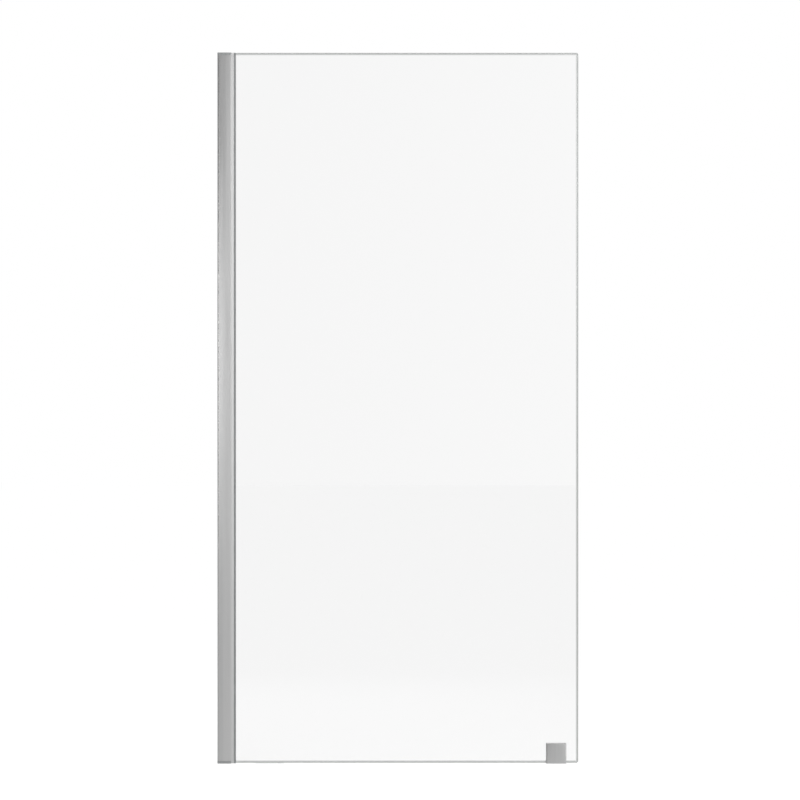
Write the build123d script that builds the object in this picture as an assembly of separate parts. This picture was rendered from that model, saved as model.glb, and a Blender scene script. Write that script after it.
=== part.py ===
# Fixed shower glass panel, 1000 mm wide and 1970 mm high.
# A toughened glass pane is held along one side in an aluminium glass profile, which slides in and out of
# a wall profile to take up a wall that isn't true. Three clamping screws lock the slide from the shower
# side. A square clamp near the free lower corner holds the pane to the floor.
#
# Frame: X runs from the wall to the free edge, Y from the outside to the shower side, and Z up.
# The origin is on the wall, on the floor and in the middle of the pane's thickness. Sizes are millimetres.

import os

from build123d import *

# Overall
PANEL_WIDTH = 1000.0      # wall to free edge, at the middle of the adjustment that is drawn
PANEL_HEIGHT = 1970.0     # floor to the top of the caps

# Clearances
RUN_GAP = 0.3             # between pieces that slide past each other
PUSH_GAP = 0.05           # round a moulding that is pushed into its place
THREAD_GAP = 0.02         # round a screw in its thread
SCREW_PLAY = 0.3          # round a screw in a plain hole

# Slide of the glass profile in the wall profile
TRAVEL_IN = 5.0           # from where it is drawn towards the wall
TRAVEL_OUT = 10.0         # from where it is drawn away from the wall

# Wall profile
WALL_WIDTH = 25.0         # across both flanges
WALL_CROWN = 0.6          # how far the outside face bulges
FLANGE = 1.6              # at the outside face's edges
WEB = 2.2
BACK_RADIUS = 4.0         # outer corners beside the wall
INNER_RADIUS = 1.0        # inner corners beside the wall
MOUTH_RADIUS = 0.8        # outer corners of the open side
PAD_HEIGHT = 0.6          # guide pads that the glass profile runs between
PAD_LENGTH = 3.0
PAD_PITCH = 7.0           # from the clamping screw's axis to the pads beside it
GROOVE_WIDTH = 3.0        # sealant grooves in the wall face
GROOVE_DEPTH = 0.8
GROOVE_PITCH = 12.0
WALL_HOLES = 4
WALL_HOLE = 5.5
WALL_HOLE_INSET = 100.0   # from the profile's ends

# Glass profile
LEG = 1.6
PROFILE_WEB = 1.6
FIN_EDGE = 2.2            # metal between the slot and the fin's edge
HOOK = 1.2                # hooks at the nose that hold the gaskets
HOOK_LENGTH = 1.4
NOSE_RADIUS = 0.8
NOSE = 7.4                # how far the nose stands out of the wall profile
END_GAP = 0.5             # the profile's and the pane's ends keep this much inside the height

# Pane
GLASS = 8.0
GLASS_BITE = 10.8         # depth of glass in the profile
EDGE_PAD = 1.2            # pads between the web and the pane's edge
EDGE_PAD_LENGTH = 60.0
CORNER_RADIUS = 6.0       # free corners
ARRIS = 2.0               # ground off both long corners of every edge
EDGE_LIFT = 1.5           # lower edge above the floor
SETTING_LENGTH = 80.0     # setting block under the lower edge, near the wall
SETTING_INSET = 60.0      # from the nose to the setting block

# Gaskets
LIP_LENGTH = 5.6          # in front of the nose
LIP_TIP = 0.7
LIP_SHOULDER = 1.6
LIP_CROWN = 0.5           # how far the lip's outer face bulges
DART_LENGTH = 6.9         # behind the hook
DART_BARBS = 3
DART_ROOT = 1.9           # thickness on the glass between the barbs

# End caps
CAP_HEIGHT = 7.5
CAP_CHAMFER = 0.6
PLUG_HEIGHT = 10.0
PLUG_WALL = 1.8
NOTCH_SPARE = 1.0         # space between a plug and the notched fins

# Clamping screws of the slide
ADJUSTERS = 3
ADJUSTER_INSET = 150.0    # from the panel's ends
ADJUSTER = 4.0            # thread diameter
ADJUSTER_LENGTH = 16.0
PAN_HEAD = 8.0
PAN_HEIGHT = 2.4
PAN_EDGE = 0.9
CROSS_WIDTH = 1.0
CROSS_LENGTH = 4.4
CROSS_DEPTH = 1.3
BLOCK_DEPTH = 9.0
BLOCK_HEIGHT = 30.0
INSERT_WALL = 1.2         # at the middle of the insert's flats
INSERT_LENGTH = 8.0
WASHER = 10.6
WASHER_THICK = 1.0
CAP_SKIN = 1.2            # wall of a snap cap
CAP_ROOM = 0.4            # between a screw's head and its snap cap
CAP_EDGE = 1.1

# Floor clamp
CLAMP_WIDTH = 56.0
CLAMP_HEIGHT = 56.0
CLAMP_INSET = 33.3        # from the free edge
PLATE = 7.0
PLATE_RADIUS = 4.0        # upright edges of the two plates
PLATE_CHAMFER = 0.4
LINER_SETBACK = 0.6       # of the rubber liner behind the plates' edges
CLAMP_SCREW = 6.0
CLAMP_SCREW_LENGTH = 22.0
CLAMP_SCREW_PITCH = 30.0
CLAMP_SCREW_RISE = 30.0
SUNK_HEAD = 12.0
SOCKET = 4.0              # across the flats
SOCKET_DEPTH = 2.3
THREAD_SPARE = 1.0        # blind thread past the screw's end
GLASS_HOLE = 14.0
BUSH_GAP = 0.1
FOOT = 6.0
FOOT_REACH = 33.5         # behind the rear plate
FOOT_RADIUS = 3.0         # inside corner of the foot
FLOOR_HOLE = 5.2
FLOOR_HEAD = 10.4
FLOOR_HOLE_PITCH = 30.0
FLOOR_HOLE_REACH = 18.5   # behind the rear plate

# Places across the panel, from the outside faces to the glass
WALL_HALF = WALL_WIDTH / 2
CAVITY_HALF = WALL_HALF - FLANGE
PAD_FACE = CAVITY_HALF - PAD_HEIGHT
LEG_OUTER = PAD_FACE - RUN_GAP
LEG_INNER = LEG_OUTER - LEG
HOOK_FACE = LEG_INNER - HOOK
GLASS_FACE = GLASS / 2

# Places from the wall outwards. At the inner end of the travel the fins just clear the wall profile's web,
# and the glass profile's web just clears the blocks.
SLOT_RADIUS = ADJUSTER / 2 + RUN_GAP
FIN_X = WEB + RUN_GAP + TRAVEL_IN
SLOT_X = FIN_X + FIN_EDGE
ADJUSTER_X = SLOT_X + SLOT_RADIUS + TRAVEL_OUT
PROFILE_WEB_X = ADJUSTER_X + BLOCK_DEPTH / 2 + RUN_GAP + TRAVEL_IN
PAD_X = PROFILE_WEB_X + PROFILE_WEB
GLASS_X = PAD_X + EDGE_PAD
NOSE_X = GLASS_X + GLASS_BITE
WALL_DEPTH = NOSE_X - NOSE
HOOK_X = NOSE_X - HOOK_LENGTH
CAP_SLOT_X = PROFILE_WEB_X - TRAVEL_IN - RUN_GAP

# Heights
WALL_TOP = PANEL_HEIGHT - CAP_HEIGHT
INSIDE_TOP = PANEL_HEIGHT - END_GAP
NOTCH = CAP_HEIGHT + PLUG_HEIGHT + NOTCH_SPARE

# Floor clamp's places
CLAMP_X = PANEL_WIDTH - CLAMP_INSET - CLAMP_WIDTH / 2
LINER_FACE = GLASS_FACE + EDGE_LIFT
PLATE_FACE = LINER_FACE + PLATE


def box(x0, x1, y0, y1, z0, z1):
    """A block between two corners."""
    middle = Pos((x0 + x1) / 2, (y0 + y1) / 2, (z0 + z1) / 2)
    return middle * Box(x1 - x0, y1 - y0, z1 - z0)


def patch(x0, x1, y0, y1):
    """A rectangle in plan, between two corners."""
    return Pos((x0 + x1) / 2, (y0 + y1) / 2) * Rectangle(x1 - x0, y1 - y0)


def bar(section, z0, z1):
    """A plan section drawn up from one height to another."""
    return extrude(Pos(0, 0, z0) * section, z1 - z0)


def rod(x, z, y0, y1, radius, top_radius=None):
    """A round bar or cone through the panel's thickness, from y0 to y1."""
    place = Pos(x, (y0 + y1) / 2, z) * Rot(-90, 0, 0)
    if top_radius is None:
        return place * Cylinder(radius, y1 - y0)
    return place * Cone(radius, top_radius, y1 - y0)


def six_sided(x, z, y0, y1, radius):
    """A six-sided bar through the panel's thickness, from y0 to y1. The radius is to its flats."""
    return Pos(x, y1, z) * Rot(90, 0, 0) * extrude(RegularPolygon(radius, 6, major_radius=False), y1 - y0)


def spaced(count, low, high):
    """Places spread evenly from low to high."""
    return [low + (high - low) * i / (count - 1) for i in range(count)]


ADJUSTER_HEIGHTS = spaced(ADJUSTERS, ADJUSTER_INSET, PANEL_HEIGHT - ADJUSTER_INSET)
WALL_HOLE_HEIGHTS = spaced(WALL_HOLES, WALL_HOLE_INSET, PANEL_HEIGHT - WALL_HOLE_INSET)
CLAMP_SCREW_PLACES = spaced(2, CLAMP_X - CLAMP_SCREW_PITCH / 2, CLAMP_X + CLAMP_SCREW_PITCH / 2)
FLOOR_HOLE_PLACES = spaced(2, CLAMP_X - FLOOR_HOLE_PITCH / 2, CLAMP_X + FLOOR_HOLE_PITCH / 2)


# Wall profile and its end caps

def wall_outline():
    """The plan outline that the wall profile and its caps share. Its outside face is a shallow bow."""
    wall_corner = Vector(0, -WALL_HALF)
    mouth_corner = Vector(WALL_DEPTH, -WALL_HALF)
    bow_middle = (wall_corner + mouth_corner) / 2 - Vector(0, WALL_CROWN)
    bow = ThreePointArc(wall_corner, bow_middle, mouth_corner)
    rest = Polyline(mouth_corner, (WALL_DEPTH, WALL_HALF), (0, WALL_HALF), wall_corner)
    outline = make_face(bow + rest)
    outline = fillet(outline.vertices().group_by(Axis.X)[0], BACK_RADIUS)
    return fillet(outline.vertices().group_by(Axis.X)[-1], MOUTH_RADIUS)


def make_wall_profile():
    """A channel with guide pads inside, sealant grooves at the back and its screw holes."""
    cavity = patch(WEB, WALL_DEPTH, -CAVITY_HALF, CAVITY_HALF)
    cavity = fillet(cavity.vertices().group_by(Axis.X)[0], INNER_RADIUS)
    section = wall_outline() - cavity
    pad_starts = [
        ADJUSTER_X - PAD_PITCH - PAD_LENGTH,
        ADJUSTER_X + PAD_PITCH,
        WALL_DEPTH - PAD_LENGTH,
    ]
    for x in pad_starts:
        section += patch(x, x + PAD_LENGTH, PAD_FACE, CAVITY_HALF)
        section += patch(x, x + PAD_LENGTH, -CAVITY_HALF, -PAD_FACE)
    for y in spaced(2, -GROOVE_PITCH / 2, GROOVE_PITCH / 2):
        section -= patch(0, GROOVE_DEPTH, y - GROOVE_WIDTH / 2, y + GROOVE_WIDTH / 2)
    profile = bar(section, CAP_HEIGHT, WALL_TOP)
    for z in WALL_HOLE_HEIGHTS:
        profile -= Pos(WEB / 2, 0, z) * Rot(0, 90, 0) * Cylinder(WALL_HOLE / 2, WEB)
    for z in ADJUSTER_HEIGHTS:
        profile -= rod(ADJUSTER_X, z, CAVITY_HALF, WALL_HALF, ADJUSTER / 2 + SCREW_PLAY)
    return profile


def make_bottom_cap():
    """A moulded cap with the wall profile's outline, a way through for the glass profile, and a plug."""
    way = patch(CAP_SLOT_X, WALL_DEPTH, -PAD_FACE, PAD_FACE)
    cap = bar(wall_outline() - way, 0, CAP_HEIGHT)
    cap = chamfer(cap.faces().sort_by(Axis.Z)[0].edges(), CAP_CHAMFER)
    plug_half = PAD_FACE - PUSH_GAP
    plug_x0 = WEB + PUSH_GAP
    plug_x1 = CAP_SLOT_X - PLUG_WALL
    plug = patch(plug_x0, plug_x1, -plug_half, plug_half)
    core_half = plug_half - PLUG_WALL
    core = patch(plug_x0 + PLUG_WALL, plug_x1 - PLUG_WALL, -core_half, core_half)
    return cap + bar(plug - core, CAP_HEIGHT, CAP_HEIGHT + PLUG_HEIGHT)


def make_top_cap():
    """The same moulding, turned over."""
    return Pos(0, 0, PANEL_HEIGHT) * mirror(make_bottom_cap(), about=Plane.XY)


# Glass profile, pane and seals

def make_glass_profile():
    """An extrusion with a pocket for the glass and two fins that slide in the wall profile."""
    section = patch(PROFILE_WEB_X, PAD_X, -LEG_OUTER, LEG_OUTER)
    for side in (-1, 1):
        low, high = sorted((side * LEG_INNER, side * LEG_OUTER))
        leg = patch(FIN_X, NOSE_X, low, high)
        corner = leg.vertices().group_by(Axis.X)[-1].sort_by(Axis.Y)[0 if side < 0 else -1]
        section += fillet(corner, NOSE_RADIUS)
        low, high = sorted((side * HOOK_FACE, side * LEG_INNER))
        section += patch(HOOK_X, NOSE_X, low, high)
    profile = bar(section, END_GAP, INSIDE_TOP)
    profile -= box(FIN_X, PROFILE_WEB_X, -LEG_OUTER, LEG_OUTER, END_GAP, NOTCH)
    profile -= box(FIN_X, PROFILE_WEB_X, -LEG_OUTER, LEG_OUTER, PANEL_HEIGHT - NOTCH, INSIDE_TOP)
    slot_length = TRAVEL_IN + TRAVEL_OUT
    slot_middle = SLOT_X + SLOT_RADIUS + slot_length / 2
    slot = SlotCenterToCenter(slot_length, 2 * SLOT_RADIUS)
    for z in ADJUSTER_HEIGHTS:
        place = Pos(slot_middle, LEG_OUTER, z) * Rot(90, 0, 0)
        profile -= place * extrude(slot, LEG)
    return profile


def gasket_section():
    """The rear gasket in plan: a lip in front of the nose, a neck past the hook, and a barbed dart behind."""
    tip = Vector(NOSE_X + LIP_LENGTH, GLASS_FACE + LIP_TIP)
    shoulder = Vector(NOSE_X + LIP_SHOULDER, LEG_INNER)
    outwards = (tip - shoulder).rotate(Axis.Z, 90).normalized()
    lip_face = ThreePointArc(tip, (tip + shoulder) / 2 + outwards * LIP_CROWN, shoulder)
    neck = [
        (NOSE_X, LEG_INNER),
        (NOSE_X, HOOK_FACE),
        (HOOK_X, HOOK_FACE),
    ]
    barb = DART_LENGTH / DART_BARBS
    dart = []
    for i in range(DART_BARBS):
        dart.append((HOOK_X - i * barb, LEG_INNER))
        dart.append((HOOK_X - (i + 1) * barb, GLASS_FACE + DART_ROOT))
    foot = [(HOOK_X - DART_LENGTH, GLASS_FACE), (tip.X, GLASS_FACE)]
    return make_face(lip_face + Polyline(shoulder, *neck, *dart, *foot, tip))


def make_rear_gasket():
    return bar(gasket_section(), END_GAP, INSIDE_TOP)


def make_front_gasket():
    return mirror(make_rear_gasket(), about=Plane.XZ)


def make_glass_pane():
    """Toughened glass with rounded free corners, arrissed edges and the clamp's two holes."""
    width = PANEL_WIDTH - GLASS_X
    height = INSIDE_TOP - EDGE_LIFT
    outline = Rectangle(width, height)
    outline = fillet(outline.vertices().group_by(Axis.X)[-1], CORNER_RADIUS)
    middle = Pos((GLASS_X + PANEL_WIDTH) / 2, GLASS_FACE, (EDGE_LIFT + INSIDE_TOP) / 2)
    pane = middle * Rot(90, 0, 0) * extrude(outline, GLASS)
    faces = pane.faces().sort_by(Axis.Y)
    pane = chamfer(faces[0].edges() + faces[-1].edges(), ARRIS)
    for x in CLAMP_SCREW_PLACES:
        pane -= rod(x, CLAMP_SCREW_RISE, -GLASS_FACE, GLASS_FACE, GLASS_HOLE / 2)
    return pane


def make_edge_pads():
    """Pads that keep the pane's edge off the profile's web, one beside each clamping screw."""
    half = EDGE_PAD_LENGTH / 2
    return [
        box(PAD_X, GLASS_X, -GLASS_FACE, GLASS_FACE, z - half, z + half)
        for z in ADJUSTER_HEIGHTS
    ]


def make_setting_block():
    """The strip that carries the pane's lower edge near the wall."""
    x = NOSE_X + SETTING_INSET
    return box(x, x + SETTING_LENGTH, -GLASS_FACE, GLASS_FACE, 0, EDGE_LIFT)


# Clamping screws of the slide. Each goes from the shower side through the wall profile, a slot in the
# glass profile's rear fin and into a threaded insert in a block between the fins.

BLOCK_HALF = LEG_INNER - RUN_GAP
INSERT_RADIUS = ADJUSTER / 2 + INSERT_WALL
WASHER_TOP = WALL_HALF + WASHER_THICK


def make_adjuster_blocks():
    blocks = []
    half_depth = BLOCK_DEPTH / 2
    half_height = BLOCK_HEIGHT / 2
    for z in ADJUSTER_HEIGHTS:
        block = box(
            ADJUSTER_X - half_depth, ADJUSTER_X + half_depth,
            -BLOCK_HALF, BLOCK_HALF,
            z - half_height, z + half_height,
        )
        block -= rod(ADJUSTER_X, z, -BLOCK_HALF, BLOCK_HALF, ADJUSTER / 2 + SCREW_PLAY)
        seat = BLOCK_HALF - INSERT_LENGTH
        block -= six_sided(ADJUSTER_X, z, seat, BLOCK_HALF, INSERT_RADIUS + PUSH_GAP)
        blocks.append(block)
    return blocks


def make_adjuster_inserts():
    """Six-sided inserts, so that they don't turn in their blocks."""
    inserts = []
    for z in ADJUSTER_HEIGHTS:
        seat = BLOCK_HALF - INSERT_LENGTH
        insert = six_sided(ADJUSTER_X, z, seat, BLOCK_HALF, INSERT_RADIUS)
        insert -= rod(ADJUSTER_X, z, seat, BLOCK_HALF, ADJUSTER / 2 + THREAD_GAP)
        inserts.append(insert)
    return inserts


def make_adjuster_screws():
    """Pan-head screws with a cross recess."""
    screws = []
    head_top = WASHER_TOP + PAN_HEIGHT
    for z in ADJUSTER_HEIGHTS:
        head = rod(ADJUSTER_X, z, WASHER_TOP, head_top, PAN_HEAD / 2)
        head = chamfer(head.edges().sort_by(Axis.Y)[-1], PAN_EDGE)
        for width, height in ((CROSS_LENGTH, CROSS_WIDTH), (CROSS_WIDTH, CROSS_LENGTH)):
            head -= box(
                ADJUSTER_X - width / 2, ADJUSTER_X + width / 2,
                head_top - CROSS_DEPTH, head_top,
                z - height / 2, z + height / 2,
            )
        screws.append(head + rod(ADJUSTER_X, z, WASHER_TOP - ADJUSTER_LENGTH, WASHER_TOP, ADJUSTER / 2))
    return screws


def make_adjuster_washers():
    """Washers whose rims hold the snap caps."""
    washers = []
    for z in ADJUSTER_HEIGHTS:
        washer = rod(ADJUSTER_X, z, WALL_HALF, WASHER_TOP, WASHER / 2)
        washer -= rod(ADJUSTER_X, z, WALL_HALF, WASHER_TOP, ADJUSTER / 2 + SCREW_PLAY)
        washers.append(washer)
    return washers


def make_adjuster_caps():
    """Snap caps over the screw heads."""
    caps = []
    inside = WASHER / 2 + PUSH_GAP
    ceiling = WASHER_TOP + PAN_HEIGHT + CAP_ROOM
    for z in ADJUSTER_HEIGHTS:
        cap = rod(ADJUSTER_X, z, WALL_HALF, ceiling + CAP_SKIN, inside + CAP_SKIN)
        cap = chamfer(cap.edges().sort_by(Axis.Y)[-1], CAP_EDGE)
        caps.append(cap - rod(ADJUSTER_X, z, WALL_HALF, ceiling, inside))
    return caps


# Floor clamp: two plates squeeze the pane through a rubber liner, and the rear one has a foot for the floor

def clamp_plate(y0, y1, round_side):
    """A square plate whose upright edges are rounded on the side away from the glass."""
    half = CLAMP_WIDTH / 2
    outline = patch(CLAMP_X - half, CLAMP_X + half, y0, y1)
    outline = fillet(outline.vertices().group_by(Axis.Y)[round_side], PLATE_RADIUS)
    return bar(outline, 0, CLAMP_HEIGHT)


def make_clamp_front_plate():
    """The plain plate that shows from outside, with blind threads behind."""
    plate = clamp_plate(-PLATE_FACE, -LINER_FACE, 0)
    plate = chamfer(plate.faces().sort_by(Axis.Z)[-1].edges(), PLATE_CHAMFER)
    thread_end = PLATE_FACE - CLAMP_SCREW_LENGTH - THREAD_SPARE
    for x in CLAMP_SCREW_PLACES:
        plate -= rod(x, CLAMP_SCREW_RISE, thread_end, -LINER_FACE, CLAMP_SCREW / 2 + THREAD_GAP)
    return plate


def sunk_hole(place, radius, head_radius, depth):
    """A screw hole down from a face at z = 0, with a countersink for a head of 90 degrees."""
    cone = head_radius - radius
    hole = Pos(0, 0, -depth / 2) * Cylinder(radius, depth)
    hole += Pos(0, 0, -cone / 2) * Cone(radius, head_radius, cone)
    return place * hole


def make_clamp_rear_bracket():
    """The rear plate and its foot in one piece, countersunk for the clamp's and the floor's screws."""
    plate = clamp_plate(LINER_FACE, PLATE_FACE, -1)
    plate = chamfer(plate.faces().sort_by(Axis.Z)[-1].edges(), PLATE_CHAMFER)
    half = CLAMP_WIDTH / 2
    foot_end = PLATE_FACE + FOOT_REACH
    foot = patch(CLAMP_X - half, CLAMP_X + half, LINER_FACE, foot_end)
    foot = fillet(foot.vertices().group_by(Axis.Y)[-1], PLATE_RADIUS)
    bracket = plate + bar(foot, 0, FOOT)
    half = CLAMP_WIDTH / 2 - PLATE_RADIUS
    web = box(CLAMP_X - half, CLAMP_X + half, PLATE_FACE, PLATE_FACE + FOOT_RADIUS, FOOT, FOOT + FOOT_RADIUS)
    web -= Pos(CLAMP_X, PLATE_FACE + FOOT_RADIUS, FOOT + FOOT_RADIUS) * Rot(0, 90, 0) * Cylinder(
        FOOT_RADIUS, 2 * half
    )
    bracket += web
    for x in CLAMP_SCREW_PLACES:
        place = Pos(x, PLATE_FACE, CLAMP_SCREW_RISE) * Rot(-90, 0, 0)
        bracket -= sunk_hole(place, CLAMP_SCREW / 2 + SCREW_PLAY, SUNK_HEAD / 2 + SCREW_PLAY, PLATE)
    for x in FLOOR_HOLE_PLACES:
        place = Pos(x, PLATE_FACE + FLOOR_HOLE_REACH, FOOT)
        bracket -= sunk_hole(place, FLOOR_HOLE / 2, FLOOR_HEAD / 2, FOOT)
    return bracket


def make_clamp_liner():
    """One strip of rubber folded under the pane's edge and up both faces."""
    half = CLAMP_WIDTH / 2 - LINER_SETBACK
    top = CLAMP_HEIGHT - LINER_SETBACK
    liner = box(CLAMP_X - half, CLAMP_X + half, -LINER_FACE, LINER_FACE, 0, top)
    liner -= box(CLAMP_X - half, CLAMP_X + half, -GLASS_FACE, GLASS_FACE, EDGE_LIFT, top)
    for x in CLAMP_SCREW_PLACES:
        liner -= rod(x, CLAMP_SCREW_RISE, -LINER_FACE, LINER_FACE, GLASS_HOLE / 2)
    return liner


def make_clamp_bushes():
    """Plastic bushes that keep the screws off the glass."""
    bushes = []
    for x in CLAMP_SCREW_PLACES:
        bush = rod(x, CLAMP_SCREW_RISE, -LINER_FACE, LINER_FACE, GLASS_HOLE / 2 - BUSH_GAP)
        bush -= rod(x, CLAMP_SCREW_RISE, -LINER_FACE, LINER_FACE, CLAMP_SCREW / 2 + SCREW_PLAY)
        bushes.append(bush)
    return bushes


def make_clamp_screws():
    """Countersunk socket screws from the rear bracket into the front plate."""
    screws = []
    cone = (SUNK_HEAD - CLAMP_SCREW) / 2
    for x in CLAMP_SCREW_PLACES:
        screw = rod(x, CLAMP_SCREW_RISE, PLATE_FACE - CLAMP_SCREW_LENGTH, PLATE_FACE, CLAMP_SCREW / 2)
        screw += rod(x, CLAMP_SCREW_RISE, PLATE_FACE - cone, PLATE_FACE, CLAMP_SCREW / 2, SUNK_HEAD / 2)
        socket = six_sided(x, CLAMP_SCREW_RISE, PLATE_FACE - SOCKET_DEPTH, PLATE_FACE, SOCKET / 2)
        screws.append(screw - socket)
    return screws


PIECES = {
    "wall_profile": make_wall_profile,
    "top_cap": make_top_cap,
    "bottom_cap": make_bottom_cap,
    "adjuster_blocks": make_adjuster_blocks,
    "adjuster_inserts": make_adjuster_inserts,
    "adjuster_screws": make_adjuster_screws,
    "adjuster_washers": make_adjuster_washers,
    "adjuster_caps": make_adjuster_caps,
    "glass_profile": make_glass_profile,
    "front_gasket": make_front_gasket,
    "rear_gasket": make_rear_gasket,
    "glass_pane": make_glass_pane,
    "glass_edge_pads": make_edge_pads,
    "glass_setting_block": make_setting_block,
    "clamp_front_plate": make_clamp_front_plate,
    "clamp_rear_bracket": make_clamp_rear_bracket,
    "clamp_liner": make_clamp_liner,
    "clamp_bushes": make_clamp_bushes,
    "clamp_screws": make_clamp_screws,
}

os.makedirs("parts", exist_ok=True)
for name, make in PIECES.items():
    made = make()
    if isinstance(made, list):
        made = Compound(children=made)
    export_step(made, f"parts/{name}.step")
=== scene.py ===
import math

import bpy
import numpy as np
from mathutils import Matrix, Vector


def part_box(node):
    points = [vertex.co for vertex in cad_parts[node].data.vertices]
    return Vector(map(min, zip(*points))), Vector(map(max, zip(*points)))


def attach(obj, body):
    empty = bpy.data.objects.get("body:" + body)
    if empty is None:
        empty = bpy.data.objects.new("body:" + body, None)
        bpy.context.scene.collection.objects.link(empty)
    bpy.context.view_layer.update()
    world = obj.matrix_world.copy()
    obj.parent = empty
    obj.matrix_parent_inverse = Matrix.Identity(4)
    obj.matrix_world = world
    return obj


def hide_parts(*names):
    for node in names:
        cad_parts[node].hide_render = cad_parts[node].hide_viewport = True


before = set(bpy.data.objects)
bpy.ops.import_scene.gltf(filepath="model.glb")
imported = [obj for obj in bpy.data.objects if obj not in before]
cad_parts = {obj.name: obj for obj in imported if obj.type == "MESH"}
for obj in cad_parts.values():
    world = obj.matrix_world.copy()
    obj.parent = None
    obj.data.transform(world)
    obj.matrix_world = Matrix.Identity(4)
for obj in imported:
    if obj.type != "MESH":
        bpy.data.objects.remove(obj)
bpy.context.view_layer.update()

bl_info = {
    "name": "Fixed shower glass panel",
    "version": (1, 0, 0),
    "blender": (4, 5, 0),
    "location": "3D View > Sidebar > Shower panel",
    "description": "Dresses the panel's aluminium, glass, seals and clamp, and sets its studio stage",
    "category": "Object",
}

# The panel stands in X and Z, with the wall at X = 0, the floor at Z = 0 and the pane's middle at Y = 0.
# Lengths are metres. MM is one millimetre.
MM = 0.001
TURN = 2 * math.pi


# Colours

def linear(hex_colour):
    """Turns an sRGB hex colour into linear red, green and blue."""
    channels = np.array([int(hex_colour[i:i + 2], 16) for i in (0, 2, 4)]) / 255
    low = channels / 12.92
    high = ((channels + 0.055) / 1.055) ** 2.4
    return tuple(float(c) for c in np.where(channels <= 0.04045, low, high))


def colour(name, default, description):
    """A colour that a user may change."""
    return bpy.props.FloatVectorProperty(
        name=name, description=description, default=linear(default),
        subtype="COLOR", size=3, min=0, max=1,
    )


def length(name, millimetres, description):
    """A length that a user may change, given here in millimetres."""
    return bpy.props.FloatProperty(
        name=name, description=description, default=millimetres * MM,
        subtype="DISTANCE", unit="LENGTH", min=0, precision=5,
    )


class ShowerPanelColours(bpy.types.PropertyGroup):
    """The colours of the panel's finishes."""
    wall_metal: colour("Wall profile", "B1B1B1", "Satin anodised aluminium of the wide profile")
    nose_metal: colour("Glass profile", "BCBCBC", "Brighter anodised aluminium of the narrow profile")
    clamp_metal: colour("Clamp", "AFAFAF", "Brushed metal of the floor clamp")
    end_caps: colour("End caps", "858787", "Moulded plastic at both ends of the wall profile")
    snap_caps: colour("Snap caps", "9FA1A2", "Moulded plastic over the clamping screws")
    seal: colour("Seals", "7E8080", "Grey rubber along the glass")
    nylon: colour("Nylon", "1C1D1E", "Black nylon of blocks, washers and bushes")
    brass: colour("Brass", "C9A75A", "Threaded inserts")
    steel: colour("Screw steel", "B9B9B7", "Stainless screws")
    vinyl: colour("Setting block", "DDE2DF", "Clear vinyl under the pane")
    glass: colour("Glass", "FAFAFA", "Tint of the pane seen through its faces")
    # The glass edge tint is the ground edges' grey. It also colours the painted edge shade on the pane's
    # faces.
    glass_edge: colour("Glass edge", "C5C7C6", "Tint of the ground edges")


class ShowerPanelSizes(bpy.types.PropertyGroup):
    """The sizes of the details that the dressed pieces add."""
    # The width of the band of ground grey and painted edge shade on the pane's faces.
    edge_and_shade_band: length("Glass edge band", 7.6, "How far the ground edge shows into the pane")
    cap_round: length("End cap rounding", 0.9, "Radius round the end caps' outer faces")
    snap_crown: length("Snap cap crown", 0.5, "How far a snap cap's face bulges")
    snap_round: length("Snap cap rounding", 1.3, "Radius round a snap cap's face")
    plate_round: length("Plate edge rounding", 1.0, "Radius round the clamp plate's top edge")
    lip_crown: length("Seal crown", 0.5, "How far a seal's lip bulges")
    thread_depth: length("Thread depth", 0.3, "Depth of the clamp screws' thread")


# Meshes

def put_mesh(name, points, faces, smooth_angle=38):
    """Makes an object from points and faces. Edges turned by more than the angle stay sharp."""
    mesh = bpy.data.meshes.new(name)
    mesh.from_pydata(points, [], faces)
    mesh.validate()
    mesh.shade_smooth()
    mesh.set_sharp_from_angle(angle=math.radians(smooth_angle))
    piece = bpy.data.objects.new(name, mesh)
    bpy.context.scene.collection.objects.link(piece)
    return piece


def ring_faces(rows, columns, loop=False):
    """Four-sided faces between neighbouring rings of a grid. With loop, the last ring joins the first."""
    row = np.arange(rows if loop else rows - 1)[:, None] * columns
    column = np.arange(columns)[None, :]
    above = (row + columns) % (rows * columns)
    beside = (column + 1) % columns
    corners = [row + column, row + beside, above + beside, above + column]
    return np.stack(np.broadcast_arrays(*corners), -1).reshape(-1, 4).tolist()


def carried(outline, heights, insets):
    """A plan outline carried up Z. At each height it is drawn in by that height's inset. The ends are flat.
    The outline runs anticlockwise seen from above, so that its faces point outwards."""
    rings = [np.column_stack([inset(outline, d), np.full(len(outline), z)]) for z, d in zip(heights, insets)]
    columns = len(outline)
    faces = ring_faces(len(rings), columns)
    faces.append(list(range(columns))[::-1])
    last = (len(rings) - 1) * columns
    faces.append(list(range(last, last + columns)))
    return np.vstack(rings), faces


def inset(outline, distance):
    """Moves both sides of each corner inwards by the distance: the corner goes along the sum of the sides'
    normals, divided by one plus their product."""
    before = outline - np.roll(outline, 1, axis=0)
    after = np.roll(before, -1, axis=0)
    normals = [
        np.column_stack([-side[:, 1], side[:, 0]]) / np.linalg.norm(side, axis=1)[:, None]
        for side in (before, after)
    ]
    total = normals[0] + normals[1]
    spread = 1 + np.sum(normals[0] * normals[1], axis=1)
    return outline + distance * total / spread[:, None]


def rectangle(low, high):
    """The four corners of a box in plan, anticlockwise seen from above."""
    return [(low.x, low.y), (high.x, low.y), (high.x, high.y), (low.x, high.y)]


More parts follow.
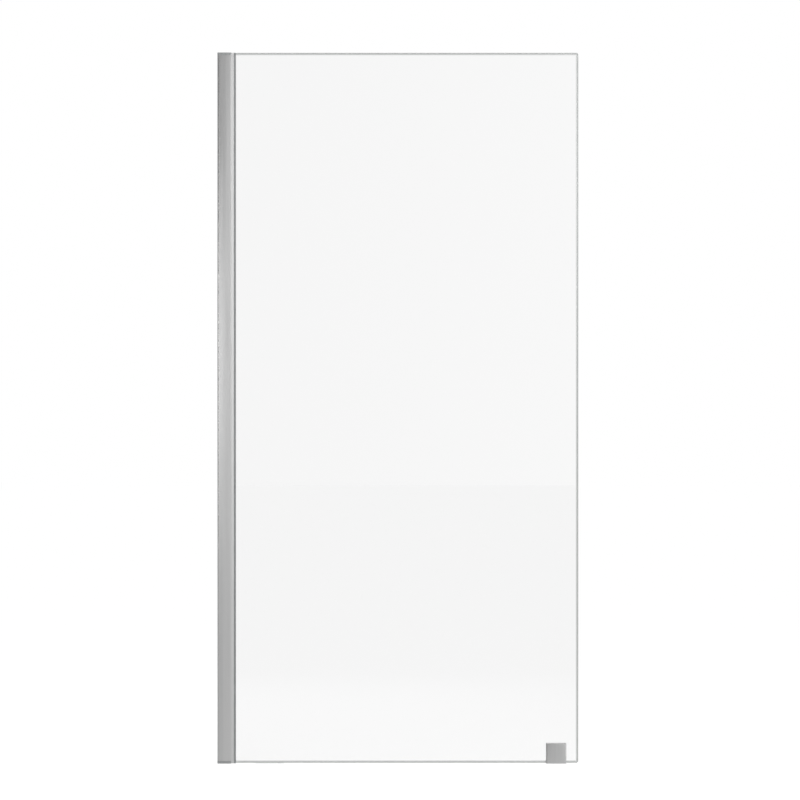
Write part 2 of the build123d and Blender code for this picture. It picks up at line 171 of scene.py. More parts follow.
def rounded(corners, radii, steps=7):
    """An outline whose corners are arcs. Each arc starts and ends where the circle of that radius touches the
    corner's two sides, and its points are spread evenly by angle."""
    corners = np.array(corners, float)
    parts = []
    for i, radius in enumerate(radii):
        here, back, on = corners[i], corners[i - 1], corners[(i + 1) % len(corners)]
        if radius <= 0:
            parts.append(here[None, :])
            continue
        to_back = (back - here) / np.linalg.norm(back - here)
        to_on = (on - here) / np.linalg.norm(on - here)
        half = math.acos(np.clip(np.dot(to_back, to_on), -1, 1)) / 2
        middle = here + (to_back + to_on) / np.linalg.norm(to_back + to_on) * radius / math.sin(half)
        first = here + to_back * radius / math.tan(half) - middle
        last = here + to_on * radius / math.tan(half) - middle
        angle = math.pi - 2 * half
        turn = math.copysign(1, first[0] * last[1] - first[1] * last[0])
        t = np.linspace(0, angle, steps) * turn
        parts.append(middle + np.column_stack([
            first[0] * np.cos(t) - first[1] * np.sin(t),
            first[0] * np.sin(t) + first[1] * np.cos(t),
        ]))
    return np.vstack(parts)


def quarter(radius, steps=6):
    """A quarter circle from the side to the face. Rises are radius * sin t, insets radius * (1 - cos t)."""
    t = np.linspace(0, math.pi / 2, steps)
    return radius * np.sin(t), radius * (1 - np.cos(t))


def turned(radii, depths, columns, x, z):
    """A shape turned about a line along Y through x and z. Ring i has radius radii[i], which may differ by
    angle, and lies at depths[i]. The first and last rings are closed by a middle point each. The rings run
    from the rear, at high Y, to the front."""
    angle = np.arange(columns) / columns * TURN
    radii = np.array([np.broadcast_to(r, columns) for r in radii])
    depth = np.broadcast_to(np.array(depths, float)[:, None], radii.shape)
    rings = np.stack([x + radii * np.cos(angle), depth, z + radii * np.sin(angle)], -1).reshape(-1, 3)
    count = len(rings)
    ends = np.array([[x, depth[0].mean(), z], [x, depth[-1].mean(), z]])
    faces = ring_faces(len(radii), columns)
    column = np.arange(columns)
    beside = (column + 1) % columns
    faces += np.column_stack([np.full(columns, count), beside, column]).tolist()
    last = (len(radii) - 1) * columns
    faces += np.column_stack([np.full(columns, count + 1), last + column, last + beside]).tolist()
    return np.vstack([rings, ends]), faces


def together(parts):
    """Joins the points and faces of several shells."""
    points, faces, start = [], [], 0
    for part_points, part_faces in parts:
        points.append(part_points)
        faces += [[i + start for i in face] for face in part_faces]
        start += len(part_points)
    return np.vstack(points), faces


def upside_down(points, faces, middle):
    """The shell mirrored about a level plane, its faces turned round so that they still point outwards."""
    turned_points = points * (1, 1, -1) + (0, 0, 2 * middle)
    return turned_points, [face[::-1] for face in faces]


def dress(piece, body, slot, material, *nodes):
    """Puts a new piece on its body and in place of the CAD nodes it stands for. The slot is not used."""
    piece.data.materials.append(material)
    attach(piece, body)
    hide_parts(*nodes)


def cover(node_name, material):
    """Gives a CAD node its finish."""
    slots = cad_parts[node_name].data.materials
    slots.clear()
    slots.append(material)


# Materials

def add(tree, kind, links=(), **settings):
    """Adds one node. Links is a dictionary of its inputs, each with a value or a socket to join."""
    made = tree.nodes.new(kind)
    for name, value in settings.items():
        setattr(made, name, value)
    for socket, value in dict(links).items():
        if isinstance(value, bpy.types.NodeSocket):
            tree.links.new(value, made.inputs[socket])
        else:
            made.inputs[socket].default_value = value
    return made


def new_material(name):
    """An empty material, its tree, its output and its Object coordinates."""
    material = bpy.data.materials.new(name)
    material.use_nodes = True
    tree = material.node_tree
    tree.nodes.clear()
    output = add(tree, "ShaderNodeOutputMaterial")
    place = add(tree, "ShaderNodeTexCoord").outputs["Object"]
    return material, tree, output, place


def grain(tree, place, size, detail=2.0, roughness=0.5):
    """Noise whose grains are size = (x, y, z) millimetres long."""
    scale = tuple(1 / (s * MM) for s in size)
    spread = add(tree, "ShaderNodeMapping", {"Vector": place, "Scale": scale})
    return add(tree, "ShaderNodeTexNoise", {
        "Vector": spread.outputs["Vector"], "Scale": 1.0, "Detail": detail, "Roughness": roughness,
    }).outputs["Fac"]


def spread_over(tree, value, low, high, start=0.3, end=0.7):
    """Carries noise between start and end over to the range from low to high."""
    return add(tree, "ShaderNodeMapRange", {
        "Value": value, "From Min": start, "From Max": end, "To Min": low, "To Max": high,
    }).outputs["Result"]


def any_of(tree, first, *others):
    """The largest of several sockets."""
    for other in others:
        first = add(tree, "ShaderNodeMath", {0: first, 1: other}, operation="MAXIMUM").outputs[0]
    return first


def mix_colours(tree, factor, first, second):
    """Mixes two colours or colour sockets. The node has a set of sockets for each type of value, and its
    colours are inputs 6 and 7 and output 2."""
    mix = add(tree, "ShaderNodeMix", data_type="RGBA")
    for socket, value in ((mix.inputs[0], factor), (mix.inputs[6], first), (mix.inputs[7], second)):
        if isinstance(value, bpy.types.NodeSocket):
            tree.links.new(value, socket)
        else:
            socket.default_value = value
    return mix.outputs[2]


def noisy_tint(tree, value, tint, darker, lighter):
    """The tint, darkened or lightened by noise."""
    dark = tuple(c * darker for c in tint) + (1,)
    light = tuple(min(1, c * lighter) for c in tint) + (1,)
    return mix_colours(tree, spread_over(tree, value, 0, 1), dark, light)


def brushed_metal(name, tint, line, long, roughness, anisotropy, depth, contrast=0.05):
    """Metal with fine lines in it and wide soft streaks under them. Line and long are the sizes of the lines
    and of the streaks along X, Y and Z in millimetres, and depth is the lines' depth."""
    material, tree, output, place = new_material(name)
    fine = grain(tree, place, line, detail=3.0, roughness=0.6)
    broad = grain(tree, place, long, detail=1.0)
    both = add(tree, "ShaderNodeMath", {0: fine, 1: broad}, operation="ADD").outputs[0]
    half = add(tree, "ShaderNodeMath", {0: both, 1: 0.5}, operation="MULTIPLY").outputs[0]
    shader = add(tree, "ShaderNodeBsdfPrincipled", {
        "Base Color": noisy_tint(tree, half, tint, 1 - contrast, 1 + contrast),
        "Metallic": 1.0,
        "Roughness": spread_over(tree, fine, roughness - 0.05, roughness + 0.05),
        "Anisotropic": anisotropy,
        "Normal": add(tree, "ShaderNodeBump", {
            "Height": fine, "Strength": 0.35, "Distance": depth * MM,
        }).outputs[0],
    })
    tree.links.new(shader.outputs[0], output.inputs["Surface"])
    return material


def moulded_plastic(name, tint, roughness, pit, depth, specular=0.5, contrast=0.06):
    """Injection moulded plastic: a fine spark-eroded texture from the mould, pit millimetres across, and a
    slow change of tone where the plastic flowed."""
    material, tree, output, place = new_material(name)
    fine = grain(tree, place, (pit, pit, pit), detail=3.0, roughness=0.6)
    flow = grain(tree, place, (9, 9, 9), detail=1.0)
    shader = add(tree, "ShaderNodeBsdfPrincipled", {
        "Base Color": noisy_tint(tree, flow, tint, 1 - contrast, 1 + contrast),
        "Roughness": spread_over(tree, fine, roughness - 0.06, roughness + 0.06),
        "Specular IOR Level": specular,
        "IOR": 1.52,
        "Normal": add(tree, "ShaderNodeBump", {
            "Height": fine, "Strength": 0.5, "Distance": depth * MM,
        }).outputs[0],
    })
    tree.links.new(shader.outputs[0], output.inputs["Surface"])
    return material


def extruded_rubber(name, tint):
    """Grey rubber drawn through a die: matt, with faint lines along Z and a slightly dusty surface."""
    material, tree, output, place = new_material(name)
    lines = grain(tree, place, (0.6, 0.6, 160), detail=2.0)
    dust = grain(tree, place, (3, 3, 7), detail=3.0, roughness=0.65)
    shader = add(tree, "ShaderNodeBsdfPrincipled", {
        "Base Color": noisy_tint(tree, dust, tint, 0.93, 1.07),
        "Roughness": spread_over(tree, lines, 0.52, 0.66),
        "Specular IOR Level": 0.35,
        "IOR": 1.5,
        "Normal": add(tree, "ShaderNodeBump", {
            "Height": lines, "Strength": 0.4, "Distance": 0.04 * MM,
        }).outputs[0],
    })
    tree.links.new(shader.outputs[0], output.inputs["Surface"])
    return material


def lamp_passes(tree, shader, output):
    """Lets lamps shine through a clear piece, so that it throws no solid shadow."""
    ray = add(tree, "ShaderNodeLightPath").outputs["Is Shadow Ray"]
    clear = add(tree, "ShaderNodeBsdfTransparent", {"Color": (0.93, 0.94, 0.93, 1)})
    mix = add(tree, "ShaderNodeMixShader", {0: ray, 1: shader.outputs[0], 2: clear.outputs[0]})
    tree.links.new(mix.outputs[0], output.inputs["Surface"])


def toughened_glass(name, tint, edge_tint, band, low, high):
    """Clear float glass, toughened. Its faces are smooth and nearly without colour. Its free edges are
    ground, so light is scattered there, and they look grey. That grey is also painted onto the clear faces
    in a band, as painted shade standing for the dark edge line. The band is measured from the pane's free
    edges: it is the smallest of the distances to the far side, the foot and the top. The outermost part of
    the band, along the arris, has black mixed in and is the darkest: painted shade."""
    material, tree, output, place = new_material(name)
    parts = add(tree, "ShaderNodeSeparateXYZ", {0: place}).outputs
    side = add(tree, "ShaderNodeMath", {0: high.x, 1: parts["X"]}, operation="SUBTRACT").outputs[0]
    foot = add(tree, "ShaderNodeMath", {0: parts["Z"], 1: low.z}, operation="SUBTRACT").outputs[0]
    top = add(tree, "ShaderNodeMath", {0: high.z, 1: parts["Z"]}, operation="SUBTRACT").outputs[0]
    nearest = add(tree, "ShaderNodeMath", {0: foot, 1: top}, operation="MINIMUM").outputs[0]
    nearest = add(tree, "ShaderNodeMath", {0: nearest, 1: side}, operation="MINIMUM").outputs[0]
    # Painted shade: the ground edges' grey is carried onto the clear faces in a band, which is also made
    # rougher.
    ground_and_shade_share = add(tree, "ShaderNodeMapRange", {
        "Value": nearest, "From Min": band * 0.6, "From Max": band, "To Min": 1.0, "To Max": 0.0,
    }, interpolation_type="SMOOTHSTEP").outputs["Result"]
    arris_painted_shade = add(tree, "ShaderNodeMapRange", {
        "Value": nearest, "From Min": band * 0.2, "From Max": band * 0.45, "To Min": 0.76, "To Max": 1.0,
    }, interpolation_type="SMOOTHSTEP").outputs["Result"]
    grit = grain(tree, place, (1.2, 1.2, 1.2), detail=3.0)
    # Black mixed into the edge grey along the arris is painted shade.
    black = (0, 0, 0, 1)
    ground = mix_colours(tree, arris_painted_shade, black, noisy_tint(tree, grit, edge_tint, 0.94, 1.06))
    height = add(tree, "ShaderNodeMath", {0: grit, 1: ground_and_shade_share}, operation="MULTIPLY").outputs[0]
    shader = add(tree, "ShaderNodeBsdfPrincipled", {
        "Base Color": mix_colours(tree, ground_and_shade_share, tint + (1,), ground),
        "Roughness": add(tree, "ShaderNodeMapRange", {
            "Value": ground_and_shade_share, "From Min": 0.0, "From Max": 1.0, "To Min": 0.0, "To Max": 0.22,
        }).outputs["Result"],
        "IOR": 1.52,
        "Transmission Weight": 1.0,
        "Normal": add(tree, "ShaderNodeBump", {
            "Height": height, "Strength": 0.3, "Distance": 0.02 * MM,
        }).outputs[0],
    })
    lamp_passes(tree, shader, output)
    return material


def clear_vinyl(name, tint):
    """Soft clear vinyl strip, cut from a roll: cloudy, slightly rough, with faint lines from the rollers."""
    material, tree, output, place = new_material(name)
    cloud = grain(tree, place, (5, 5, 2), detail=3.0)
    shader = add(tree, "ShaderNodeBsdfPrincipled", {
        "Base Color": noisy_tint(tree, cloud, tint, 0.95, 1.04),
        "Roughness": spread_over(tree, cloud, 0.22, 0.38),
        "IOR": 1.53,
        "Transmission Weight": 0.85,
    })
    lamp_passes(tree, shader, output)
    return material


# Operators, one for each piece or group of like pieces

class SHOWERPANEL_OT_profiles(bpy.types.Operator):
    """Finish the two aluminium profiles"""
    bl_idname = "shower_panel.profiles"
    bl_label = "Aluminium profiles"

    def execute(self, context):
        colours = context.scene.shower_panel_colours
        # Extruded aluminium, satin etched and anodised: even grey, die lines along its length, and a soft
        # highlight that is wider across the lines than along them. Real die lines are about 0.2 mm wide; they
        # are drawn 0.8 mm wide so that they show.
        satin = brushed_metal(
            "satin anodised aluminium, extruded", tuple(colours.wall_metal),
            line=(0.8, 0.8, 260), long=(7, 7, 900), roughness=0.34, anisotropy=0.15, depth=0.02,
        )
        # The same aluminium, brushed before anodising: lighter, with a broad soft highlight.
        bright = brushed_metal(
            "bright anodised aluminium, brushed", tuple(colours.nose_metal),
            line=(0.5, 0.5, 180), long=(3, 3, 700), roughness=0.55, anisotropy=0.4, depth=0.012,
        )
        cover("wall_profile", satin)
        cover("glass_profile", bright)
        return {"FINISHED"}


class SHOWERPANEL_OT_end_caps(bpy.types.Operator):
    """Make the moulded caps at both ends of the wall profile"""
    bl_idname = "shower_panel.end_caps"
    bl_label = "End caps"

    def execute(self, context):
        colours, sizes = context.scene.shower_panel_colours, context.scene.shower_panel_sizes
        # ABS from a spark-eroded mould: a dull grey plastic a little darker than the metal.
        plastic = moulded_plastic(
            "moulded grey ABS, spark eroded", tuple(colours.end_caps), roughness=0.5, pit=0.7, depth=0.02,
        )
        low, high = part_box("bottom_cap")
        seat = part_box("wall_profile")[0].z
        rise, draw_in = quarter(sizes.cap_round)
        seam = 0.15 * MM
        heights = np.concatenate([low.z + sizes.cap_round - rise[::-1], [seat - seam, seat]])
        insets = np.concatenate([draw_in[::-1], [0, seam]])
        lid = carried(self.plan(low, high), heights, insets)
        bottom = together([lid, self.plug(seat, high.z)])
        top_middle = (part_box("top_cap")[1].z + low.z) / 2
        for name, shell in (("bottom", bottom), ("top", upside_down(*bottom, top_middle))):
            piece = put_mesh(f"{name}_cap_moulding", *shell)
            dress(piece, "wall_frame", "cap_plastic", plastic, f"{name}_cap")
        return {"FINISHED"}

    @staticmethod
    def plan(low, high):
        """The bottom cap in plan: a rectangle with a way through for the glass profile. Its outside face is
        bowed as the wall profile's is, by the crown times one minus t squared, with t from -1 to 1 across."""
        way_x, way_y = 26.5 * MM, 10.3 * MM
        wall_round, mouth_round, way_round, inner_round = 4.0 * MM, 0.8 * MM, 0.3 * MM, 0.5 * MM
        face = -high.y
        # Sharp corners along the straight face, clear of the arcs at its ends, let it be bowed.
        bow_points = 17
        across = np.linspace(low.x + wall_round * 1.1, high.x - mouth_round * 1.5, bow_points)
        outline = rounded(
            [(low.x, face), *((x, face) for x in across), (high.x, face), (high.x, -way_y), (way_x, -way_y),
             (way_x, way_y), (high.x, way_y), (high.x, high.y), (low.x, high.y)],
            [wall_round, *([0] * bow_points), mouth_round, way_round, inner_round,
             inner_round, way_round, mouth_round, wall_round],
        )
        middle = (low.x + high.x) / 2
        t = (outline[:, 0] - middle) / (high.x - middle)
        crown = face - low.y
        outline[:, 1] -= np.where(outline[:, 1] < -way_y, crown * (1 - t ** 2), 0)
        return outline

    @staticmethod
    def plug(foot, head):
        """A thin wall round a rectangle, pushed into the profile. Its section is carried once round."""
        x0, x1, half = 2.25 * MM, 24.7 * MM, 10.25 * MM
        wall, corner, lead = 1.8 * MM, 1.2 * MM, 0.4 * MM
        outer = rounded([(x0, -half), (x1, -half), (x1, half), (x0, half)], [corner] * 4, steps=4)
        rings = [(0, foot), (0, head - lead), (lead, head), (wall, head), (wall, foot)]
        points = [np.column_stack([inset(outer, d), np.full(len(outer), z)]) for d, z in rings]
        return np.vstack(points), ring_faces(len(rings), len(outer), loop=True)


class SHOWERPANEL_OT_seals(bpy.types.Operator):
    """Make the two gaskets that squeeze the glass, and finish the hidden rubber pieces"""
    bl_idname = "shower_panel.seals"
    bl_label = "Seals"

    def execute(self, context):
        colours, sizes = context.scene.shower_panel_colours, context.scene.shower_panel_sizes
        rubber = extruded_rubber("grey EPDM rubber, extruded", tuple(colours.seal))
        low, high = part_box("rear_gasket")
        outline = self.section(low, high, sizes.lip_crown)
        points, faces = carried(outline, [low.z, high.z], [0, 0])
        rear = put_mesh("rear_gasket_strip", points, faces, smooth_angle=30)
        dress(rear, "panel", "gasket_rubber", rubber, "rear_gasket")
        # The front gasket is the rear one mirrored, with its faces turned round to point outwards.
        mirrored, faces = points * (1, -1, 1), [face[::-1] for face in faces]
        front = put_mesh("front_gasket_strip", mirrored, faces, smooth_angle=30)
        dress(front, "panel", "gasket_rubber", rubber, "front_gasket")
        for name in ("glass_edge_pads", "clamp_liner"):
            cover(name, rubber)
        return {"FINISHED"}

    @staticmethod
    def section(low, high, crown):
        """The rear gasket in plan: a lip whose face is a shallow bow, a groove along the nose, a neck past
        its hook, and a barbed dart. The bow is the straight line from tip to shoulder, moved out by crown
        times one minus t squared, with t from -1 to 1 along it."""
        lip_length, tip_height, shoulder_reach = 5.6 * MM, 0.7 * MM, 1.6 * MM
        groove_width, groove_depth = 0.7 * MM, 1.1 * MM
        hook_length, hook_depth = 1.4 * MM, 1.2 * MM
        barbs, barb_length, dart_root = 3, 2.3 * MM, 1.9 * MM
        bow_points = 15
        glass, roof = low.y, high.y
        nose = high.x - lip_length
        hook, hook_face, groove = nose - hook_length, roof - hook_depth, roof - groove_depth
        tip = np.array([high.x, glass + tip_height])
        shoulder = np.array([nose + shoulder_reach, roof])
        run = shoulder - tip
        outwards = np.array([run[1], -run[0]]) / np.linalg.norm(run)
        t = np.linspace(-1, 1, bow_points)[:, None]
        bow = (tip + shoulder) / 2 + run / 2 * t + outwards * crown * (1 - t ** 2)
        dart = []
        for i in range(barbs):
            dart.append((hook - i * barb_length, roof))
            dart.append((hook - (i + 1) * barb_length, glass + dart_root))
        rest = [
            (nose + groove_width, groove), (nose, groove), (nose, hook_face), (hook, hook_face),
            *dart, (hook - barbs * barb_length, glass), (high.x, glass),
        ]
        return np.vstack([bow, rest])


class SHOWERPANEL_OT_glass(bpy.types.Operator):
    """Finish the glass pane and make the setting block under it"""
    bl_idname = "shower_panel.glass"
    bl_label = "Glass"

    def execute(self, context):
        colours, sizes = context.scene.shower_panel_colours, context.scene.shower_panel_sizes
        low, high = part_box("glass_pane")
        cover("glass_pane", toughened_glass(
            "toughened float glass, ground edges and painted edge shade", tuple(colours.glass), tuple(colours.glass_edge),
            sizes.edge_and_shade_band, low, high,
        ))
        vinyl = clear_vinyl("clear vinyl, rolled", tuple(colours.vinyl))
        low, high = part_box("glass_setting_block")
        corner, edge = 1.0 * MM, 0.3 * MM
        outline = rounded(rectangle(low, high), [corner] * 4)
        rise, draw_in = quarter(edge, steps=4)
        heights = np.concatenate([low.z + edge - rise[::-1], high.z - edge + rise])
        insets = np.concatenate([draw_in[::-1], draw_in])
        block = put_mesh("setting_block_strip", *carried(outline, heights, insets))
        dress(block, "panel", "clear_vinyl", vinyl, "glass_setting_block")
        return {"FINISHED"}


class SHOWERPANEL_OT_adjusters(bpy.types.Operator):
    """Make the snap caps and finish the clamping screws, washers, blocks and inserts"""
    bl_idname = "shower_panel.adjusters"
    bl_label = "Clamping screws and snap caps"

    def execute(self, context):
        colours, sizes = context.scene.shower_panel_colours, context.scene.shower_panel_sizes
        # Moulded ABS with a fine texture: a soft, slightly glossy grey.
        plastic = moulded_plastic(
            "moulded silver-grey ABS, fine texture", tuple(colours.snap_caps),
            roughness=0.38, pit=0.5, depth=0.012,
        )
        # Nylon with glass fibre, moulded: black and dull, with a mottled skin.
        nylon = moulded_plastic(
            "moulded black nylon, glass filled", tuple(colours.nylon), roughness=0.55, pit=0.4, depth=0.02,
        )
        # Brass turned on a lathe, and stainless steel cold formed and tumbled: bright, finely scratched.
        brass = brushed_metal(
            "turned brass", tuple(colours.brass), line=(2, 0.15, 2), long=(6, 1, 6), roughness=0.25,
            anisotropy=0.2, depth=0.01,
        )
        steel = brushed_metal(
            "stainless steel, cold formed", tuple(colours.steel), line=(0.5, 0.5, 0.5), long=(3, 3, 3),
            roughness=0.28, anisotropy=0.0, depth=0.01,
        )
        for name in ("adjuster_blocks", "adjuster_washers", "clamp_bushes"):
            cover(name, nylon)
        cover("adjuster_inserts", brass)
        cover("adjuster_screws", steel)

        low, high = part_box("adjuster_caps")
        count = 3
        radius = (high.x - low.x) / 2
        x = (low.x + high.x) / 2
        shells = [
            self.snap_cap(x, z, low.y, high.y, radius, sizes)
            for z in np.linspace(low.z + radius, high.z - radius, count)
        ]
        caps = put_mesh("snap_cap_mouldings", *together(shells))
        dress(caps, "wall_frame", "snap_cap_plastic", plastic, "adjuster_caps")
        return {"FINISHED"}

    @staticmethod
    def snap_cap(x, z, foot, top, radius, sizes):
        """A thin cap turned about Y: a crowned face, where the depth falls with the radius squared, a quarter
        circle round it, a straight skirt, and the same inside, a wall's thickness further in."""
        wall, lead = 1.2 * MM, 0.25 * MM
        columns = 64
        # The share of a face's radius at which its innermost ring lies
        pole = 0.04
        flat, inner = radius - sizes.snap_round, radius - wall
        ceiling, rim = top - wall, top - sizes.snap_crown
        face = np.linspace(pole, 1, 9)
        rise, draw_in = quarter(sizes.snap_round, steps=8)
        rings = [
            *zip(flat * face, top - sizes.snap_crown * face ** 2),
            *zip(flat + rise[1:], rim - draw_in[1:]),
            (radius, foot + lead),
            (radius - lead, foot),
            (inner, foot),
            (inner, ceiling),
            (inner * 0.5, ceiling),
            (inner * pole, ceiling),
        ]
        radii, depths = zip(*rings)
        return turned(radii, depths, columns, x, z)


class SHOWERPANEL_OT_clamp(bpy.types.Operator):
    """Make the clamp's front plate and its screws, and finish the rear bracket"""
    bl_idname = "shower_panel.clamp"
    bl_label = "Floor clamp"

    def execute(self, context):
        colours, sizes = context.scene.shower_panel_colours, context.scene.shower_panel_sizes
        # Metal brushed upright with a belt and sealed: fine lines along Z, and a soft highlight across them.
        # Real lines are about 0.05 mm wide; they are drawn 0.5 mm wide so that they show.
        metal = brushed_metal(
            "brushed stainless steel, belt ground", tuple(colours.clamp_metal),
            line=(0.5, 0.5, 40), long=(5, 5, 120), roughness=0.38, anisotropy=0.5, depth=0.015, contrast=0.06,
        )
        cover("clamp_rear_bracket", metal)
        low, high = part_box("clamp_front_plate")
        # The upright edges are rounded wide in front and slightly behind, and the foot is only broken.
        front_edge, rear_edge, foot = 4.0 * MM, sizes.plate_round * 1.2, 0.2 * MM
        outline = rounded(rectangle(low, high), [front_edge, front_edge, rear_edge, rear_edge], steps=12)
        rise, draw_in = quarter(sizes.plate_round)
        heights = np.concatenate([[low.z, low.z + foot], high.z - sizes.plate_round + rise])
        insets = np.concatenate([[foot, 0], draw_in])
        plate = put_mesh("clamp_front_plate_brushed", *carried(outline, heights, insets))
        dress(plate, "panel", "clamp_metal", metal, "clamp_front_plate")

        steel = bpy.data.materials["stainless steel, cold formed"]
        low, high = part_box("clamp_screws")
        head = 6.0 * MM
        shells = [
            self.socket_screw(x, (low.z + high.z) / 2, high.y, high.y - low.y, head, sizes.thread_depth)
            for x in (low.x + head, high.x - head)
        ]
        screws = put_mesh("clamp_socket_screws", *together(shells))
        dress(screws, "panel", "screw_steel", steel, "clamp_screws")
        return {"FINISHED"}

    @staticmethod
    def socket_screw(x, z, top, size, head, thread_depth):
        """A countersunk screw turned about Y, as long as size, with a head of radius head. The socket's rings
        are hexagons, whose radius is half the width over the flats divided by the cosine of the angle from
        the nearest flat. The shank's radius is a triangle wave of depth over pitch less angle over a turn,
        which makes the thread."""
        shank, pitch = 3.0 * MM, 1.0 * MM
        half_flats, socket, rim = 2.0 * MM, 2.3 * MM, 0.15 * MM
        columns, thread_rings = 48, 160
        # The share of a radius at which the innermost ring of the socket and of the tip lies
        pole = 0.05
        neck, end = top - head + shank, top - size
        angle = np.arange(columns) / columns * TURN
        from_flat = (angle + TURN / 12) % (TURN / 6) - TURN / 12
        hexagon = half_flats / np.cos(from_flat)
        rings = [
            (hexagon * pole, top - socket * 1.15),
            (hexagon, top - socket),
            (hexagon, top - rim),
            (hexagon * 1.06, top),
            (head - 2 * rim, top),
            (head - rim, top - rim * 0.5),
            (head - rim * 0.6, top - rim),
            (shank, neck),
        ]
        runs = np.linspace(neck - pitch, end + pitch, thread_rings)
        wave = np.abs((runs[:, None] / pitch - angle[None, :] / TURN) % 1 - 0.5) * 2
        rings += zip(shank - thread_depth * wave, runs)
        rings += [
            (shank - 1.2 * thread_depth, end + 0.6 * pitch),
            (shank * 0.75, end),
            (shank * pole, end),
        ]
        radii, depths = zip(*rings)
        return turned(radii, depths, columns, x, z)


class SHOWERPANEL_OT_stage(bpy.types.Operator):
    """Lay the pale floor, set the soft lamps and the white surround, and place the camera"""
    bl_idname = "shower_panel.stage"
    bl_label = "Stage"

    def execute(self, context):
        self.floor()
        self.surround(context.scene)
        # Each lamp's name, place, the point that it is aimed at, width, height and power in watts
        lamps = (
            ("strip lamp", (-0.66, -2.15, 1.17), (0.0, 0.0, 1.17), 0.40, 0.75, 6.8),
            ("far strip lamp", (1.42, -2.15, 1.75), (0.0, 0.0, 1.75), 0.36, 0.80, 15.0),
            ("overhead softbox", (0.50, -0.60, 3.80), (0.5, 0.0, 0.0), 2.60, 1.80, 30.0),
            ("rear softbox", (0.20, 3.20, 2.20), (0.4, 0.0, 0.9), 1.80, 1.80, 26.0),
        )
        for name, place, target, width, height, power in lamps:
            light = bpy.data.lights.new(name, "AREA")
            light.shape = "RECTANGLE"
            light.size, light.size_y, light.energy = width, height, power
            lamp = bpy.data.objects.new(name, light)
            lamp.location = place
            aim = Vector(target) - Vector(place)
            lamp.rotation_euler = aim.to_track_quat("-Z", "Y").to_euler()
            lamp.visible_camera = lamp.visible_transmission = False
            # The broad lamp behind the panel would stand in the pane as a white square.
            lamp.visible_glossy = name != "rear softbox"
            context.scene.collection.objects.link(lamp)
        self.camera(context.scene)
        context.scene.view_settings.view_transform = "Standard"
        return {"FINISHED"}

    @staticmethod
    def floor():
        """A pale floor that reads as white but keeps the shadow: a glow near white plus a little lit matt."""
        half = 40.0
        points = [(-half, -half, 0), (half, -half, 0), (half, half, 0), (-half, half, 0)]
        ground = put_mesh("studio_floor", points, [(0, 1, 2, 3)])
        material, tree, output, place = new_material("matt white studio floor")
        # A painted floor rolled on: hardly any tone, with a faint mottle a hand wide.
        mottle = grain(tree, place, (90, 90, 90), detail=2.0)
        paint = add(tree, "ShaderNodeBsdfDiffuse", {
            "Color": noisy_tint(tree, mottle, linear("F0F0F0"), 0.99, 1.01),
        })
        path = add(tree, "ShaderNodeLightPath").outputs
        through = path["Is Transmission Ray"]
        # Seen through the pane, the floor is lit less and glows a little more, which brings it near the level
        # of the surround above it.
        direct_matt, through_matt = linear("767676") + (1,), linear("525252") + (1,)
        matt = add(tree, "ShaderNodeBsdfDiffuse", {
            "Color": mix_colours(tree, through, direct_matt, through_matt),
        })
        level = add(tree, "ShaderNodeMapRange", {"Value": through, "To Min": 0.87, "To Max": 0.89})
        glow = add(tree, "ShaderNodeEmission", {"Color": (1, 1, 1, 1), "Strength": level.outputs["Result"]})
        bright = add(tree, "ShaderNodeAddShader", {0: glow.outputs[0], 1: matt.outputs[0]})
        seen = any_of(tree, path["Is Camera Ray"], path["Is Glossy Ray"], through)
        mix = add(tree, "ShaderNodeMixShader", {0: seen, 1: paint.outputs[0], 2: bright.outputs[0]})
        tree.links.new(mix.outputs[0], output.inputs["Surface"])
        ground.data.materials.append(material)

    @staticmethod
    def surround(scene):
        """White to the camera, through glass and behind the panel. In front of it the room is darker on the
        wall side and lighter on the other, as metal shows it. It gives a little less light than it shows in
        reflections."""
        world = bpy.data.worlds.new("white studio")
        world.use_nodes = True
        scene.world = world
        tree = world.node_tree
        tree.nodes.clear()
        place = add(tree, "ShaderNodeTexCoord").outputs["Generated"]
        parts = add(tree, "ShaderNodeSeparateXYZ", {0: place}).outputs
        front = add(tree, "ShaderNodeMath", {0: parts["Y"], 1: -1.0}, operation="MULTIPLY").outputs[0]
        bearing = add(tree, "ShaderNodeMath", {0: parts["X"], 1: front}, operation="ARCTAN2").outputs[0]
        turn = add(tree, "ShaderNodeMapRange", {"Value": bearing, "From Min": -math.pi, "From Max": math.pi})
        ramp = add(tree, "ShaderNodeValToRGB", {"Fac": turn.outputs["Result"]})
        ramp.color_ramp.interpolation = "EASE"
        # Bearings from the panel's front in degrees, positive away from the wall, and the room's level there
        levels = (
            (-180, 1.0), (-110, 0.40), (-30, 0.08), (-3, 0.14), (11, 1.40), (20, 2.30), (50, 2.30),
            (90, 0.75), (180, 1.0),
        )
        while len(ramp.color_ramp.elements) < len(levels):
            ramp.color_ramp.elements.new(0.5)
        for stop, (degrees, level) in zip(ramp.color_ramp.elements, levels):
            stop.position = (degrees + 180) / 360
            stop.color = (level, level, level, 1)
        path = add(tree, "ShaderNodeLightPath").outputs
        matt_share = 0.85
        share = add(tree, "ShaderNodeMapRange", {
            "Value": path["Is Glossy Ray"], "To Min": matt_share, "To Max": 1.0,
        })
        given = add(tree, "ShaderNodeMath", {
            0: ramp.outputs["Color"], 1: share.outputs["Result"],
        }, operation="MULTIPLY").outputs[0]
        strength = any_of(tree, path["Is Camera Ray"], path["Is Transmission Ray"], given)
        light = add(tree, "ShaderNodeBackground", {"Color": (1, 1, 1, 1), "Strength": strength})
        output = add(tree, "ShaderNodeOutputWorld")
        tree.links.new(light.outputs[0], output.inputs["Surface"])

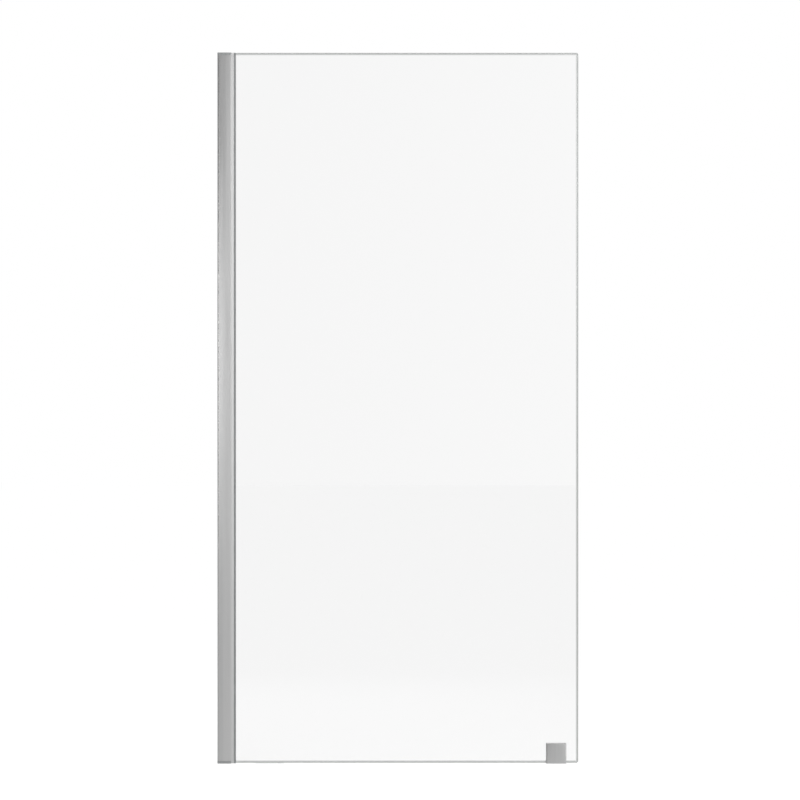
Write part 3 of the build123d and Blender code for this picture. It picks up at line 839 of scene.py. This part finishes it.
    @staticmethod
    def camera(scene):
        """A long lens square on to the panel, far enough away that nothing is foreshortened. The picture is
        800 pixels square and 2.216 m wide at the panel's front."""
        width, front = 2.216, -12.5 * MM
        middle_x, middle_z = 0.5058, 1.0072
        data = bpy.data.cameras.new("long lens")
        data.lens, data.sensor_width = 200, 36
        data.clip_start, data.clip_end = 0.1, 200
        camera = bpy.data.objects.new("long lens", data)
        distance = width * data.lens / data.sensor_width
        camera.location = (middle_x, front - distance, middle_z)
        camera.rotation_euler = (math.radians(90), 0, 0)
        scene.collection.objects.link(camera)
        scene.camera = camera


class SHOWERPANEL_PT_pieces(bpy.types.Panel):
    """Lists the panel's pieces, colours and sizes"""
    bl_label = "Fixed shower glass panel"
    bl_space_type = "VIEW_3D"
    bl_region_type = "UI"
    bl_category = "Shower panel"

    def draw(self, context):
        column = self.layout.column()
        for operator in OPERATORS:
            column.operator(operator.bl_idname)
        for group in (context.scene.shower_panel_colours, context.scene.shower_panel_sizes):
            box = self.layout.box()
            for name in group.__annotations__:
                box.prop(group, name)


OPERATORS = (
    SHOWERPANEL_OT_profiles,
    SHOWERPANEL_OT_end_caps,
    SHOWERPANEL_OT_seals,
    SHOWERPANEL_OT_glass,
    SHOWERPANEL_OT_adjusters,
    SHOWERPANEL_OT_clamp,
    SHOWERPANEL_OT_stage,
)
CLASSES = (ShowerPanelColours, ShowerPanelSizes, *OPERATORS, SHOWERPANEL_PT_pieces)


def register():
    for item in CLASSES:
        bpy.utils.register_class(item)
    bpy.types.Scene.shower_panel_colours = bpy.props.PointerProperty(type=ShowerPanelColours)
    bpy.types.Scene.shower_panel_sizes = bpy.props.PointerProperty(type=ShowerPanelSizes)


def unregister():
    del bpy.types.Scene.shower_panel_sizes
    del bpy.types.Scene.shower_panel_colours
    for item in reversed(CLASSES):
        bpy.utils.unregister_class(item)


def main():
    register()
    bpy.ops.shower_panel.profiles()
    bpy.ops.shower_panel.end_caps()
    bpy.ops.shower_panel.seals()
    bpy.ops.shower_panel.glass()
    bpy.ops.shower_panel.adjusters()
    bpy.ops.shower_panel.clamp()
    bpy.ops.shower_panel.stage()


if __name__ == "__main__":
    main()
